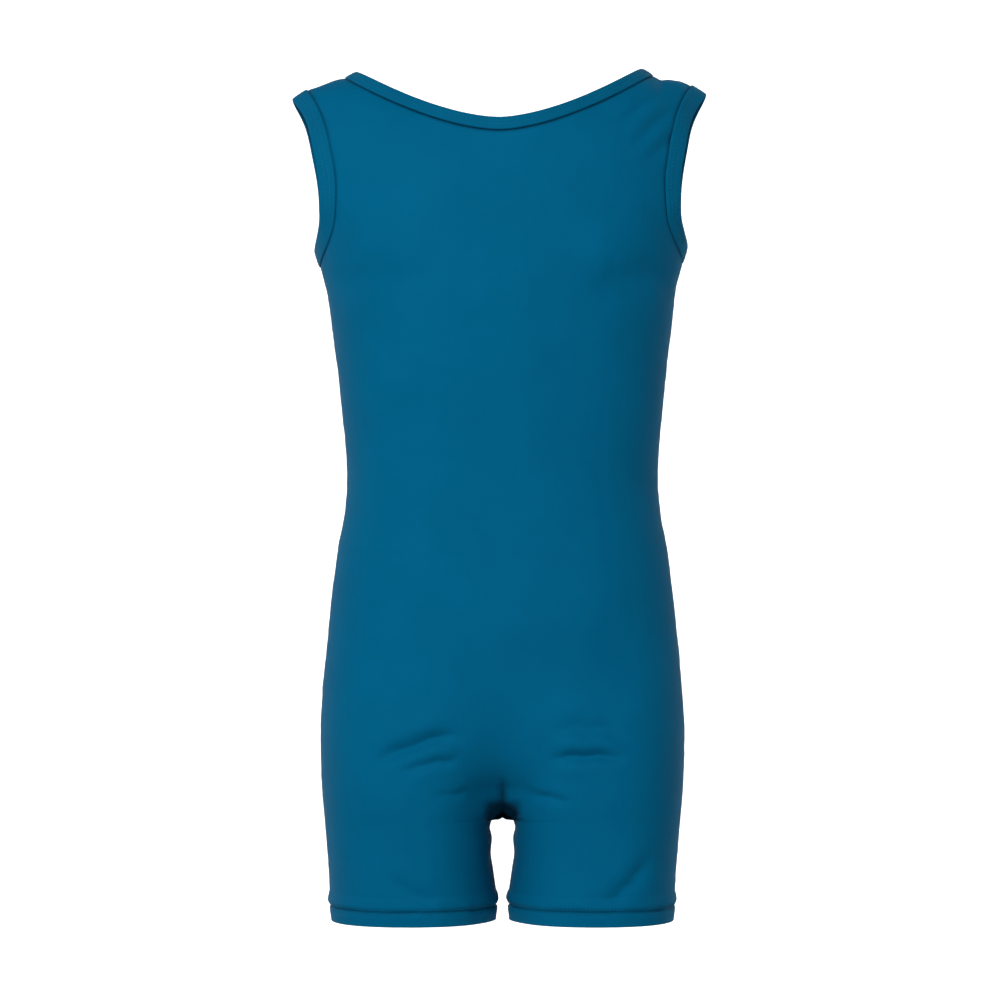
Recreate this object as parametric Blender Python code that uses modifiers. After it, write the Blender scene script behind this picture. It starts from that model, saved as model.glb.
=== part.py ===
"""A child's sleeveless, short-legged dance unitard, filled out as it is worn, with nobody in it.

Metres, +Z up. The front faces -Y and the wearer's left is +X. The origin is midway between the
two shoulder tops, where the wearer holds the garment up. Every panel is drawn on the inside of
its cloth, and its thickness is added outwards.
"""

from collections import namedtuple
from math import acos, asin, cos, pi, radians, sin

import bmesh
import bpy
from mathutils import Vector

# Cloth and seams
WALL = 0.0012
HEM_WALL = 0.0022
SEAM_GAP = 0.0003

# Which half of the body a panel covers
FRONT = -1
BACK = 1

# Body form as worn, at the outside of the cloth
Section = namedtuple("Section", "z half_width front back")
SECTIONS = (
    Section(0.010, 0.1680, 0.062, 0.060),
    Section(-0.014, 0.1615, 0.068, 0.068),
    Section(-0.040, 0.1530, 0.077, 0.077),
    Section(-0.068, 0.1500, 0.084, 0.083),
    Section(-0.100, 0.1480, 0.089, 0.087),
    Section(-0.120, 0.1430, 0.091, 0.088),
    Section(-0.146, 0.1380, 0.093, 0.088),
    Section(-0.168, 0.1326, 0.094, 0.086),
    Section(-0.198, 0.1284, 0.093, 0.083),
    Section(-0.259, 0.1218, 0.088, 0.077),
    Section(-0.304, 0.1182, 0.085, 0.075),
    Section(-0.335, 0.1200, 0.085, 0.077),
    Section(-0.366, 0.1256, 0.086, 0.082),
    Section(-0.426, 0.1326, 0.089, 0.094),
    Section(-0.487, 0.1377, 0.090, 0.103),
    Section(-0.533, 0.1377, 0.088, 0.102),
    Section(-0.575, 0.1345, 0.083, 0.093),
    Section(-0.612, 0.1316, 0.078, 0.084),
    Section(-0.644, 0.1308, 0.075, 0.079),
)
ROUNDNESS = 0.87

# Shoulders: a straight sloping line on top, over which the cloth rolls from front to back
SHOULDER_SLOPE = 0.30
NECK_POINT_X = 0.115
NECK_POINT_Z = -0.005
TIP_X = 0.144
ROLL_HEIGHT = 0.075
ROLL_POWER = 2.2

# Neckline: how far its seam lies below the neck point at the centre, and how it curves
Neckline = namedtuple("Neckline", "centre_z curve")
NECKLINES = {FRONT: Neckline(-0.0495, 1.7), BACK: Neckline(-0.100, 2.3)}

# Armhole: an egg seen from the side, its broad end below
ARMHOLE_BOTTOM = -0.146
ARMHOLE_REACH = {FRONT: 0.052, BACK: 0.047}
ARMHOLE_EGG = 0.25
ARMHOLE_TRIES = 20
LEAST_ROLL = 0.01

# Crotch and legs
CROTCH_Z = -0.5662
CROTCH_RISE = {FRONT: 0.086, BACK: 0.110}
LEAST_CURL = 0.001
LEAST_DROP = 1e-6
LEG_BLEND_TOP = -0.400
LEG_BLEND_END = -0.552
HEM_Z = -0.644
HEM_DEPTH = 0.020

# Gap between the legs, from the crotch down to the hem; it shapes only the cloth close to it
INSEAM_X = 0.0095
INSEAM_CLOSENESS = 7
Inseam = namedtuple("Inseam", "drop half_gap")
INSEAM = (
    Inseam(0.0000, 0.0000),
    Inseam(0.0012, 0.0066),
    Inseam(0.0045, 0.0086),
    Inseam(0.0100, 0.0090),
    Inseam(0.0200, 0.0078),
    Inseam(0.0380, 0.0070),
    Inseam(0.0576, 0.0046),
    Inseam(0.0600, 0.0042),
    Inseam(CROTCH_Z - HEM_Z, 0.0042),
)

# Bindings: bands that carry the panels' edges on, standing a little proud of them
NECK_BAND = 0.0083
ARMHOLE_BAND = 0.0105
NECK_STAND = radians(22)
ARMHOLE_FLARE = radians(15)
BAND_OUT = 0.0016
BAND_IN = -0.0004
BAND_CROWN = 0.0003
BAND_EDGE_OUT = 0.0012
BAND_EDGE_IN = 0.0001

# Mesh density
HALF_COLUMNS = 16
NECK_COLUMNS = 12
ARMHOLE_ROWS = 13
CROWDING = 1.7
BODY_ROWS = 11
CURL_ROWS = 6

# Finish
CLOTH_BLUE = (0.0015, 0.112, 0.225, 1.0)
BINDING_BLUE = (0.003, 0.095, 0.190, 1.0)
CLOTH_ROUGHNESS = 0.62
BINDING_ROUGHNESS = 0.70


def read_table(rows, key, height, column):
    """Smooth value of one column of a table whose first column falls or rises steadily."""
    keys = [getattr(row, key) for row in rows]
    values = [getattr(row, column) for row in rows]
    if keys[0] > keys[-1]:
        keys.reverse()
        values.reverse()
    if height <= keys[0]:
        return values[0]
    if height >= keys[-1]:
        return values[-1]
    last = len(keys) - 1
    low = max(i for i in range(last) if keys[i] <= height)
    slopes = []
    for i in (low, low + 1):
        before = max(i - 1, 0)
        after = min(i + 1, last)
        slopes.append((values[after] - values[before]) / (keys[after] - keys[before]))
    span = keys[low + 1] - keys[low]
    t = (height - keys[low]) / span
    return (
        values[low] * (2 * t**3 - 3 * t**2 + 1)
        + values[low + 1] * (3 * t**2 - 2 * t**3)
        + slopes[0] * span * (t**3 - 2 * t**2 + t)
        + slopes[1] * span * (t**3 - t**2)
    )


def half_width(z):
    return read_table(SECTIONS, "z", z, "half_width") - WALL


def depth(side, z):
    return read_table(SECTIONS, "z", z, "front" if side == FRONT else "back") - WALL


def shoulder_line(x):
    return NECK_POINT_Z - (abs(x) - NECK_POINT_X) * SHOULDER_SLOPE


def shoulder_roll(x, z):
    """1 on the body, falling to 0 at the shoulder line, where front and back meet."""
    below = min(max((shoulder_line(x) - z) / ROLL_HEIGHT, 0.0), 1.0)
    return max(1.0 - (1.0 - below) ** ROLL_POWER, 0.0) ** (1.0 / ROLL_POWER)


def rounded(value):
    return max(value, 0.0) ** ROUNDNESS


def torso_point(side, turn, z):
    """A point on the trunk: turn is 0 on the centre line and 1 at the side seam."""
    angle = turn * pi / 2
    x = half_width(z) * rounded(sin(angle))
    y = depth(side, z) * rounded(cos(angle)) * shoulder_roll(x, z)
    return Vector((x, side * (y + SEAM_GAP / 2), z))


def turn_at(x, z):
    """The turn at which the trunk has this x."""
    return asin(min(x / half_width(z), 1.0) ** (1.0 / ROUNDNESS)) / (pi / 2)


def inner_edge(z):
    """Distance of the inseam from the centre plane, 0 where the legs are joined."""
    drop = CROTCH_Z - z
    if drop < LEAST_DROP:
        return 0.0
    return read_table(INSEAM, "drop", drop, "half_gap") + WALL


def leg_point(side, turn, z):
    """A point on a leg: turn is 0 at the inseam, or the centre line above it, and 1 outside."""
    outer = half_width(z)
    middle = (INSEAM_X + outer) / 2
    swing = 2 * turn - 1
    if swing >= 0:
        angle = swing * pi / 2
        x = middle + (outer - middle) * rounded(sin(angle))
    else:
        curl = (CROTCH_Z + CROTCH_RISE[side] - z) / CROTCH_RISE[side]
        reach = asin(min(max(curl, LEAST_CURL), 1.0))
        angle = -swing * reach
        inward = rounded(sin(angle) / sin(reach))
        x = middle - (middle - INSEAM_X) * inward + (inner_edge(z) - INSEAM_X) * inward**INSEAM_CLOSENESS
    y = depth(side, z) * rounded(cos(angle))
    return Vector((x, side * (y + SEAM_GAP / 2), z))


def body_point(side, turn, z):
    """The trunk, passing smoothly into the legs."""
    share = min(max((LEG_BLEND_TOP - z) / (LEG_BLEND_TOP - LEG_BLEND_END), 0.0), 1.0)
    share = share * share * (3 - 2 * share)
    trunk = torso_point(side, turn, z)
    return trunk.lerp(leg_point(side, turn, z), share)


def armhole_place(side, step):
    """Turn and height on the armhole seam: step is 0 under the arm and 1 at the shoulder tip."""
    tip_z = shoulder_line(TIP_X)
    if step >= 1.0:
        return turn_at(TIP_X, tip_z), tip_z
    angle = step * pi
    z = ARMHOLE_BOTTOM + (tip_z - ARMHOLE_BOTTOM) * (1 - cos(angle)) / 2
    reach = ARMHOLE_REACH[side] * sin(angle) * (1 + ARMHOLE_EGG * cos(angle))
    x = TIP_X
    for _ in range(ARMHOLE_TRIES):
        share = reach / (depth(side, z) * max(shoulder_roll(x, z), LEAST_ROLL))
        turn = acos(min(share, 1.0) ** (1.0 / ROUNDNESS)) / (pi / 2)
        x = (x + half_width(z) * rounded(sin(turn * pi / 2))) / 2
    return turn, z


def top_place(side, column):
    """Turn and height on the panel's top edge: the neckline, then the shoulder seam."""
    neckline = NECKLINES[side]
    if column <= NECK_COLUMNS:
        share = 1 - (1 - column / NECK_COLUMNS) ** CROWDING
        drop = NECK_POINT_Z - neckline.centre_z
        x = NECK_POINT_X * share
        z = neckline.centre_z + drop * share**neckline.curve
    else:
        share = (column - NECK_COLUMNS) / (HALF_COLUMNS - NECK_COLUMNS)
        x = NECK_POINT_X + (TIP_X - NECK_POINT_X) * share
        z = shoulder_line(x)
    return turn_at(x, z), z


def upper_place(side, column, row):
    """Turn and height inside the panel above the armhole's bottom, eased between its edges."""
    step = row / ARMHOLE_ROWS
    rise = 1 - (1 - step) ** CROWDING
    across = column / HALF_COLUMNS
    centre_top = top_place(side, 0)[1]
    tip_turn, tip_z = top_place(side, HALF_COLUMNS)
    edge_turn, edge_z = armhole_place(side, step)
    top_turn, top_z = top_place(side, column)
    turn = (1 - rise) * across + rise * top_turn
    turn += across * (edge_turn - (1 - rise) - rise * tip_turn)
    centre_z = ARMHOLE_BOTTOM + (centre_top - ARMHOLE_BOTTOM) * rise
    z = (1 - across) * centre_z + across * edge_z
    z += rise * (top_z - (1 - across) * centre_top - across * tip_z)
    return turn, z


def row_heights(side):
    """Heights of the panel's rows below the armholes, down to the hem."""
    curl_top = CROTCH_Z + CROTCH_RISE[side]
    heights = [
        ARMHOLE_BOTTOM + (curl_top - ARMHOLE_BOTTOM) * i / BODY_ROWS for i in range(1, BODY_ROWS + 1)
    ]
    for i in range(1, CURL_ROWS + 1):
        heights.append(curl_top - CROTCH_RISE[side] * sin(i / CURL_ROWS * pi / 2))
    heights += [CROTCH_Z - row.drop for row in INSEAM[1:]]
    return heights


def panel_rows(side):
    """Rows of points over half a panel, from its top edge down to the hem."""
    rows = []
    for row in range(ARMHOLE_ROWS, -1, -1):
        places = [upper_place(side, column, row) for column in range(HALF_COLUMNS + 1)]
        rows.append([torso_point(side, turn, z) for turn, z in places])
    for z in row_heights(side):
        rows.append([body_point(side, column / HALF_COLUMNS, z) for column in range(HALF_COLUMNS + 1)])
    return rows


def loft(rows, side):
    """Open surface through rows of equally many points, facing away from the body."""
    build = bmesh.new()
    vertices = [build.verts.new(point) for row in rows for point in row]
    across = len(rows[0])
    for r in range(len(rows) - 1):
        for c in range(across - 1):
            corner = r * across + c
            face = [corner, corner + across, corner + across + 1, corner + 1]
            if side == BACK:
                face.reverse()
            build.faces.new([vertices[i] for i in face])
    return build, vertices


def make_material(name, colour, roughness):
    material = bpy.data.materials.new(name)
    material.use_nodes = True
    shader = material.node_tree.nodes["Principled BSDF"]
    shader.inputs["Base Color"].default_value = colour
    shader.inputs["Roughness"].default_value = roughness
    shader.inputs["Metallic"].default_value = 0.0
    material.diffuse_color = colour
    return material


def make_object(name, build, collection, material):
    mesh = bpy.data.meshes.new(name)
    build.to_mesh(mesh)
    build.free()
    mesh.materials.append(material)
    mesh.shade_smooth()
    thing = bpy.data.objects.new(name, mesh)
    collection.objects.link(thing)
    return thing


def add_mirror(thing):
    mirror = thing.modifiers.new("Other half", "MIRROR")
    mirror.use_axis = (True, False, False)
    mirror.merge_threshold = 0.00005


def make_panel(name, side, collection, material):
    """A front or back: half of it as a loft, mirrored, and given the cloth's thickness."""
    build, vertices = loft(panel_rows(side), side)
    build.verts.index_update()
    turned_up = [vertex.index for vertex in vertices if vertex.co.z < HEM_Z + HEM_DEPTH]
    panel = make_object(name, build, collection, material)
    hem = panel.vertex_groups.new(name="hem")
    hem.add(turned_up, 1.0, "REPLACE")
    add_mirror(panel)
    solidify = panel.modifiers.new("Cloth", "SOLIDIFY")
    solidify.thickness = HEM_WALL
    solidify.offset = 1.0
    solidify.vertex_group = "hem"
    solidify.thickness_vertex_group = WALL / HEM_WALL


def edge_places(side):
    """Points and cloth directions on a half panel's neckline and armhole seams."""
    rows = panel_rows(side)
    build, vertices = loft(rows, side)
    build.normal_update()
    across = HALF_COLUMNS + 1
    normals = [vertex.normal.copy() for vertex in vertices]
    build.free()
    neckline = [(rows[0][c], normals[c]) for c in range(NECK_COLUMNS + 1)]
    armhole = [
        (rows[r][HALF_COLUMNS], normals[r * across + HALF_COLUMNS]) for r in range(ARMHOLE_ROWS, -1, -1)
    ]
    return neckline, armhole


def joined(front_edge, back_edge):
    """The place where a front and a back edge meet: midway, facing between the two."""
    point = (front_edge[0] + back_edge[0]) / 2
    normal = front_edge[1] + back_edge[1]
    return point, Vector((normal.x, 0.0, normal.z)).normalized()


def band_corners(seam, off_panel, normal, width, lean):
    """Six corners of a band's section: its sewn edge first, then round its free edge."""
    along = off_panel * cos(lean) + normal * sin(lean)
    out = normal * cos(lean) - off_panel * sin(lean)
    start = seam + off_panel * SEAM_GAP
    middle = seam + along * width / 2
    edge = seam + along * width
    return [
        start + normal * BAND_IN,
        start + normal * BAND_OUT,
        middle + out * (BAND_OUT + BAND_CROWN),
        edge + out * BAND_EDGE_OUT,
        edge + out * BAND_EDGE_IN,
        middle + out * (BAND_IN - BAND_CROWN),
    ]


def band_ring(stations, closed, flipped):
    """A closed band through its stations' corners."""
    build = bmesh.new()
    rings = [[build.verts.new(corner) for corner in corners] for corners in stations]
    sides = len(rings[0])
    for s in range(len(rings) if closed else len(rings) - 1):
        here = rings[s]
        there = rings[(s + 1) % len(rings)]
        for k in range(sides):
            after = (k + 1) % sides
            face = [here[k], here[after], there[after], there[k]]
            if flipped:
                face.reverse()
            build.faces.new(face)
    return build


def make_neck_binding(front_neckline, back_neckline, collection, material):
    """The neck band: from the front centre over one shoulder to the back centre, mirrored."""
    places = front_neckline[:-1] + [joined(front_neckline[-1], back_neckline[-1])]
    places += back_neckline[-2::-1]
    last = len(places) - 1
    stations = []
    for i, (seam, normal) in enumerate(places):
        tangent = places[min(i + 1, last)][0] - places[max(i - 1, 0)][0]
        if i in (0, last):
            tangent = Vector((tangent.x, 0.0, 0.0))
            normal = Vector((0.0, normal.y, normal.z)).normalized()
        off_panel = normal.cross(tangent).normalized()
        lean = NECK_STAND * (seam.x / NECK_POINT_X) ** 2
        stations.append(band_corners(seam, off_panel, normal, NECK_BAND, lean))
    for corners in (stations[0], stations[-1]):
        for corner in corners:
            corner.x = 0.0
    band = make_object("neck_binding", band_ring(stations, False, True), collection, material)
    add_mirror(band)


def make_armhole_binding(name, hand, front_armhole, back_armhole, collection, material):
    """An armhole band: up the front from under the arm, over the tip and down the back."""
    places = [joined(front_armhole[0], back_armhole[0])] + front_armhole[1:-1]
    places += [joined(front_armhole[-1], back_armhole[-1])] + back_armhole[-2:0:-1]
    stations = []
    for i, (seam, normal) in enumerate(places):
        tangent = places[(i + 1) % len(places)][0] - places[i - 1][0]
        off_panel = tangent.cross(normal).normalized()
        corners = band_corners(seam, off_panel, normal, ARMHOLE_BAND, ARMHOLE_FLARE)
        stations.append([Vector((hand * corner.x, corner.y, corner.z)) for corner in corners])
    make_object(name, band_ring(stations, True, hand < 0), collection, material)


def clear_scene():
    for thing in list(bpy.data.objects):
        bpy.data.objects.remove(thing, do_unlink=True)


def main():
    clear_scene()
    collection = bpy.data.collections.new("dance_unitard")
    bpy.context.scene.collection.children.link(collection)
    cloth = make_material("stretch_cloth", CLOTH_BLUE, CLOTH_ROUGHNESS)
    back_cloth = make_material("stretch_cloth_back", CLOTH_BLUE, CLOTH_ROUGHNESS)
    bands = [
        make_material(name, BINDING_BLUE, BINDING_ROUGHNESS)
        for name in ("neck_band_cloth", "left_armhole_cloth", "right_armhole_cloth")
    ]
    make_panel("front_panel", FRONT, collection, cloth)
    make_panel("back_panel", BACK, collection, back_cloth)
    front_neckline, front_armhole = edge_places(FRONT)
    back_neckline, back_armhole = edge_places(BACK)
    make_neck_binding(front_neckline, back_neckline, collection, bands[0])
    for name, hand, material in (
        ("armhole_binding_left", 1, bands[1]),
        ("armhole_binding_right", -1, bands[2]),
    ):
        make_armhole_binding(name, hand, front_armhole, back_armhole, collection, material)


main()
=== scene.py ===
"""A child's dance unitard in stretch knit, filled out as worn: its looks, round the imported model."""

from collections import namedtuple
from math import asin, cos, exp, hypot, pi, radians, sin

import bmesh
import bpy
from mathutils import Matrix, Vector, geometry, kdtree, noise


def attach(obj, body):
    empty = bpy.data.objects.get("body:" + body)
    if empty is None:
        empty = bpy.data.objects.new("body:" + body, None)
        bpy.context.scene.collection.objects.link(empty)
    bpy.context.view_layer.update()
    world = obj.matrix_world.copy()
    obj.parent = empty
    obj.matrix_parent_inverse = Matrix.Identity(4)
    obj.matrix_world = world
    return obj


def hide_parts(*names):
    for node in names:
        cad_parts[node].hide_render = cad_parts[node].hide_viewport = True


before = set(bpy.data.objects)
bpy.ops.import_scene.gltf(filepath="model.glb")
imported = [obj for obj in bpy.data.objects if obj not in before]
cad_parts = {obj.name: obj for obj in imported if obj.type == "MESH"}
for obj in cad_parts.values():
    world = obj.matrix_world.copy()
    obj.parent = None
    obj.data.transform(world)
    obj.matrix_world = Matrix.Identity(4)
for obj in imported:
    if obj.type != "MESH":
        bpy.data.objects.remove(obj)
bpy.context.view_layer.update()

# The garment's form, in metres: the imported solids' own, with the bands and shoulder tips as worn
WALL = 0.0012
SHELL = 0.0011
SEAM_GAP = 0.00012
FRONT = -1
BACK = 1

Section = namedtuple("Section", "z half_width front back")
SECTIONS = (
    Section(0.010, 0.1680, 0.062, 0.060),
    Section(-0.014, 0.1615, 0.068, 0.068),
    Section(-0.040, 0.1530, 0.077, 0.077),
    Section(-0.068, 0.1500, 0.084, 0.083),
    Section(-0.100, 0.1480, 0.089, 0.087),
    Section(-0.120, 0.1430, 0.091, 0.088),
    Section(-0.146, 0.1380, 0.093, 0.088),
    Section(-0.168, 0.1326, 0.094, 0.086),
    Section(-0.198, 0.1284, 0.093, 0.083),
    Section(-0.259, 0.1218, 0.088, 0.077),
    Section(-0.304, 0.1182, 0.085, 0.075),
    Section(-0.335, 0.1200, 0.085, 0.077),
    Section(-0.366, 0.1256, 0.086, 0.082),
    Section(-0.426, 0.1326, 0.089, 0.094),
    Section(-0.487, 0.1377, 0.090, 0.103),
    Section(-0.533, 0.1377, 0.088, 0.102),
    Section(-0.575, 0.1345, 0.083, 0.093),
    Section(-0.612, 0.1316, 0.078, 0.084),
    Section(-0.644, 0.1308, 0.075, 0.079),
)
ROUNDNESS = 0.87
SHOULDER_SLOPE = 0.30
NECK_POINT_X = 0.115
NECK_POINT_Z = -0.005
TIP_X = 0.1465
ROLL_HEIGHT = 0.075
ROLL_POWER = 2.2
Neckline = namedtuple("Neckline", "centre_z curve")
NECKLINES = {FRONT: Neckline(-0.0495, 1.7), BACK: Neckline(-0.100, 2.3)}
ARMHOLE_BOTTOM = -0.146
ARMHOLE_REACH = {FRONT: 0.052, BACK: 0.047}
ARMHOLE_EGG = 0.25
ARMHOLE_TRIES = 40
CROTCH_Z = -0.5662
CROTCH_RISE = {FRONT: 0.086, BACK: 0.110}
LEAST_CURL = 0.001
LEAST_DROP = 1e-6
LEG_BLEND_TOP = -0.400
LEG_BLEND_END = -0.552
HEM_Z = -0.644
INSEAM_X = 0.0095
INSEAM_CLOSENESS = 15
Inseam = namedtuple("Inseam", "drop half_gap")
INSEAM = (
    Inseam(0.0000, 0.0000),
    Inseam(0.0012, 0.0066),
    Inseam(0.0045, 0.0086),
    Inseam(0.0090, 0.0094),
    Inseam(0.0160, 0.0079),
    Inseam(0.0280, 0.0087),
    Inseam(0.0400, 0.0070),
    Inseam(0.0560, 0.0048),
    Inseam(0.0600, 0.0042),
    Inseam(CROTCH_Z - HEM_Z, 0.0042),
)
NECK_BAND = 0.0083
ARMHOLE_BAND = 0.0120
NECK_STAND = radians(13)
ARMHOLE_FLARES = {1: radians(12), -1: radians(22)}
TIP_FLARE = radians(-14)
TIP_FLARE_FROM = -0.060
BAND_LAP = 0.0016
UNDERARM_FLARE = radians(5)
UNDERARM_FLARE_TO = -0.100
BAND_OUT = 0.0020
BAND_IN = -0.0005

# How finely the cloth is meshed
HALF_COLUMNS = 66
NECK_COLUMNS = 50
ARMHOLE_ROWS = 50
CROWDING = 1.7
ARCH_DROPS = (0.0003, 0.0007, 0.0012, 0.0020, 0.0030, 0.0045, 0.0062, 0.0080)
RowSpan = namedtuple("RowSpan", "top bottom step")
ROWS_ABOVE = (
    RowSpan(ARMHOLE_BOTTOM, -0.4400, 0.0026),
    RowSpan(-0.4400, -0.5500, 0.00115),
    RowSpan(-0.5500, CROTCH_Z, 0.0008),
)
ROWS_BELOW = RowSpan(CROTCH_Z - ARCH_DROPS[-1], HEM_Z, 0.0011)
NECK_PLACES = 260
ARMHOLE_PLACES = 180
NORMAL_PASSES = 12
TANGENT_PASSES = 4
BAND_SIDES = 18
HEM_PLACES = 90

# Hem and seams
HEM_STITCH_Z = -0.6325
HEM_STITCH_ROWS = (0.0011, -0.0022)
SEAM_DIP = 0.0006
NECK_DIP = 0.0022
ARMHOLE_DIP = 0.0012
VALLEY = 0.0090
VALLEY_WIDTH = 0.034
TUCK = 0.017
LIP_Z = -0.5525

# The slight lean above the waist, and the bumps along the shoulder seams
LEAN = 0.0115
LEAN_FROM = -0.330
LEAN_TO = -0.130
Bump = namedtuple("Bump", "x rise width")
SHOULDER_BUMPS = (
    Bump(0.1220, -0.0022, 0.0050),
    Bump(0.1370, 0.0010, 0.0050),
    Bump(-0.1230, 0.0009, 0.0070),
)

# Creases as they lie on the cloth: ends as x and z, in metres, then depth, half width and bow
Crease = namedtuple("Crease", "x1 z1 x2 z2 depth width bow")
FRONT_CREASES = (
    Crease(-0.0900, -0.5190, -0.0380, -0.5010, 0.0044, 0.0054, 0.0026),
    Crease(-0.0740, -0.5255, -0.0360, -0.5192, 0.0025, 0.0042, 0.0014),
    Crease(-0.0480, -0.5462, -0.0240, -0.5452, 0.0010, 0.0032, 0.0004),
    Crease(0.0440, -0.4940, 0.0920, -0.5030, 0.0022, 0.0066, 0.0018),
    Crease(0.0400, -0.5170, 0.0860, -0.5168, 0.0044, 0.0046, 0.0012),
    Crease(0.0205, -0.5478, 0.0500, -0.5492, 0.0014, 0.0032, 0.0006),
    Crease(0.0760, -0.6260, 0.1080, -0.5940, 0.0024, 0.0056, -0.0020),
    Crease(-0.0840, -0.6065, -0.0540, -0.6240, 0.0018, 0.0052, -0.0015),
    Crease(0.0930, -0.0430, 0.1210, -0.0235, 0.0017, 0.0040, 0.0010),
    Crease(0.1010, -0.0610, 0.1300, -0.0350, 0.0020, 0.0044, 0.0010),
    Crease(0.1100, -0.0740, 0.1320, -0.0530, 0.0015, 0.0040, 0.0008),
    Crease(-0.0980, -0.0400, -0.1190, -0.0265, 0.0005, 0.0036, 0.0008),
    Crease(-0.1080, -0.0620, -0.1240, -0.0470, 0.0004, 0.0034, 0.0008),
    Crease(-0.1130, -0.3667, 0.0450, -0.3727, 0.0002, 0.0030, 0.0010),
    Crease(-0.1220, -0.1550, -0.0500, -0.1680, 0.0024, 0.0125, 0.0020),
    Crease(0.0680, -0.1680, 0.1240, -0.1580, 0.0028, 0.0130, 0.0020),
)
BACK_CREASES = (
    Crease(-0.0860, -0.5520, -0.0380, -0.5680, 0.0016, 0.0036, -0.0030),
    Crease(0.0330, -0.5660, 0.0800, -0.5540, 0.0018, 0.0034, -0.0026),
    Crease(-0.0520, -0.5800, -0.0250, -0.5840, 0.0010, 0.0026, -0.0010),
    Crease(0.0230, -0.5830, 0.0450, -0.5800, 0.0009, 0.0024, -0.0010),
    Crease(-0.0950, -0.3120, -0.0300, -0.3030, 0.0009, 0.0050, 0.0030),
    Crease(0.0250, -0.3060, 0.0880, -0.3170, 0.0008, 0.0048, 0.0026),
    Crease(-0.0640, -0.3300, -0.0100, -0.3255, 0.0005, 0.0044, 0.0016),
    Crease(0.0990, -0.0760, 0.1230, -0.0480, 0.0009, 0.0036, 0.0010),
    Crease(-0.1010, -0.0700, -0.1220, -0.0500, 0.0008, 0.0036, 0.0010),
)

# How far a place on a panel is from each seam; FAR stands for a seam that is nowhere near
Away = namedtuple("Away", "side shoulder neck armhole")
FAR = 1.0

# Stitching: length of a stitch, the pitch from one to the next, its thread, and how far it stands
# off the cloth; the rows lie at these shares of a band's width
STITCH_LENGTH = 0.0021
STITCH_PITCH = 0.0029
THREAD = 0.00027
ABOVE_BAND = 0.00005
ABOVE_HEM = 0.0002
NECK_STITCH_ROWS = (0.30, 0.62)
ARMHOLE_STITCH_ROWS = (0.26, 0.55)

# Finishes: dark and light colour, spread between by the uneven dye and by the loops' painted shade,
# how rough and how much sheen, then the knit's relief and loop size
Finish = namedtuple("Finish", "dark light roughness sheen bump wale course")
PANEL_FINISH = Finish(
    (0.0, 0.094, 0.195, 1), (0.0002, 0.120, 0.246, 1), 0.56, 0.012, 0.35, 0.00075, 0.00060
)
BAND_FINISH = Finish(
    (0.0004, 0.090, 0.184, 1), (0.0010, 0.118, 0.235, 1), 0.62, 0.05, 0.55, 0.00110, 0.00085
)
THREAD_FINISH = Finish(
    (0.0030, 0.125, 0.235, 1), (0.0080, 0.180, 0.310, 1), 0.50, 0.03, 0.30, 0.00040, 0.00030
)
# painted shade: the colour that the sewn ditches, the hem stitching and the crotch recess are darkened
# towards
PAINTED_SHADE_COLOUR = (0.0010, 0.016, 0.036, 1.0)
SHEEN_TINT = (0.55, 0.72, 0.80, 1.0)
GLOSS = 0.012
LOOP_RELIEF = 0.00012

# Picture: the camera faces the front, level with the garment's middle
CAMERA_DISTANCE = 3.45
CAMERA_Z = -0.326
CAMERA_X = -0.0019
PICTURE_WIDTH = 0.760
SENSOR = 36.0

# Studio: a floor that curves up all round and glows behind the garment, and two lamps
FLOOR_Z = -0.95
FLOOR_SPOKES = 72
FLOOR_FLAT = (3.6, 4.4)
FLOOR_CURVE = 1.6
WALL_TOPS = (3.4, 5.2)
FLOOR_SHADE = 0.50
GLOW_FROM = 0.9
GLOW_TO = 2.1
FRONT_GLOW = 0.15
BACK_GLOW = 1.0
AIR_LIGHT = 0.05
Light = namedtuple("Light", "name place size energy")
LIGHTS = (
    Light("key", (-1.15, -2.9, 1.5), 1.0, 92.0),
    Light("back", (1.8, 2.6, 1.6), 1.6, 14.0),
)


def read_table(rows, key, height, column):
    """Smooth value of one column of a table whose key column falls or rises steadily."""
    keys = [getattr(row, key) for row in rows]
    values = [getattr(row, column) for row in rows]
    if keys[0] > keys[-1]:
        keys.reverse()
        values.reverse()
    if height <= keys[0]:
        return values[0]
    if height >= keys[-1]:
        return values[-1]
    last = len(keys) - 1
    low = max(i for i in range(last) if keys[i] <= height)
    slopes = []
    for i in (low, low + 1):
        before = max(i - 1, 0)
        after = min(i + 1, last)
        slopes.append((values[after] - values[before]) / (keys[after] - keys[before]))
    span = keys[low + 1] - keys[low]
    t = (height - keys[low]) / span
    return (
        values[low] * (2 * t**3 - 3 * t**2 + 1)
        + values[low + 1] * (3 * t**2 - 2 * t**3)
        + slopes[0] * span * (t**3 - 2 * t**2 + t)
        + slopes[1] * span * (t**3 - t**2)
    )


def half_width(z):
    """Half the garment's width inside its wall."""
    return read_table(SECTIONS, "z", z, "half_width") - WALL


def depth(side, z):
    """Depth of the front or the back from the middle, inside the wall."""
    return read_table(SECTIONS, "z", z, "front" if side == FRONT else "back") - WALL


def shoulder_line(x):
    """Height of the shoulder seam."""
    return NECK_POINT_Z - (abs(x) - NECK_POINT_X) * SHOULDER_SLOPE


def shoulder_roll(x, z):
    """1 on the body, falling to 0 at the shoulder line, where front and back meet."""
    below = min(max((shoulder_line(x) - z) / ROLL_HEIGHT, 0.0), 1.0)
    return max(1.0 - (1.0 - below) ** ROLL_POWER, 0.0) ** (1.0 / ROLL_POWER)


def rounded(value):
    """Fills a round section out a little, towards a box with soft corners."""
    return max(value, 0.0) ** ROUNDNESS


def torso_point(side, turn, z):
    """A point on the trunk: turn is 0 on the centre line and 1 at the side seam."""
    angle = turn * pi / 2
    x = half_width(z) * rounded(sin(angle))
    y = depth(side, z) * rounded(cos(angle)) * shoulder_roll(x, z)
    return Vector((x, side * (y + SEAM_GAP / 2), z))


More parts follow.
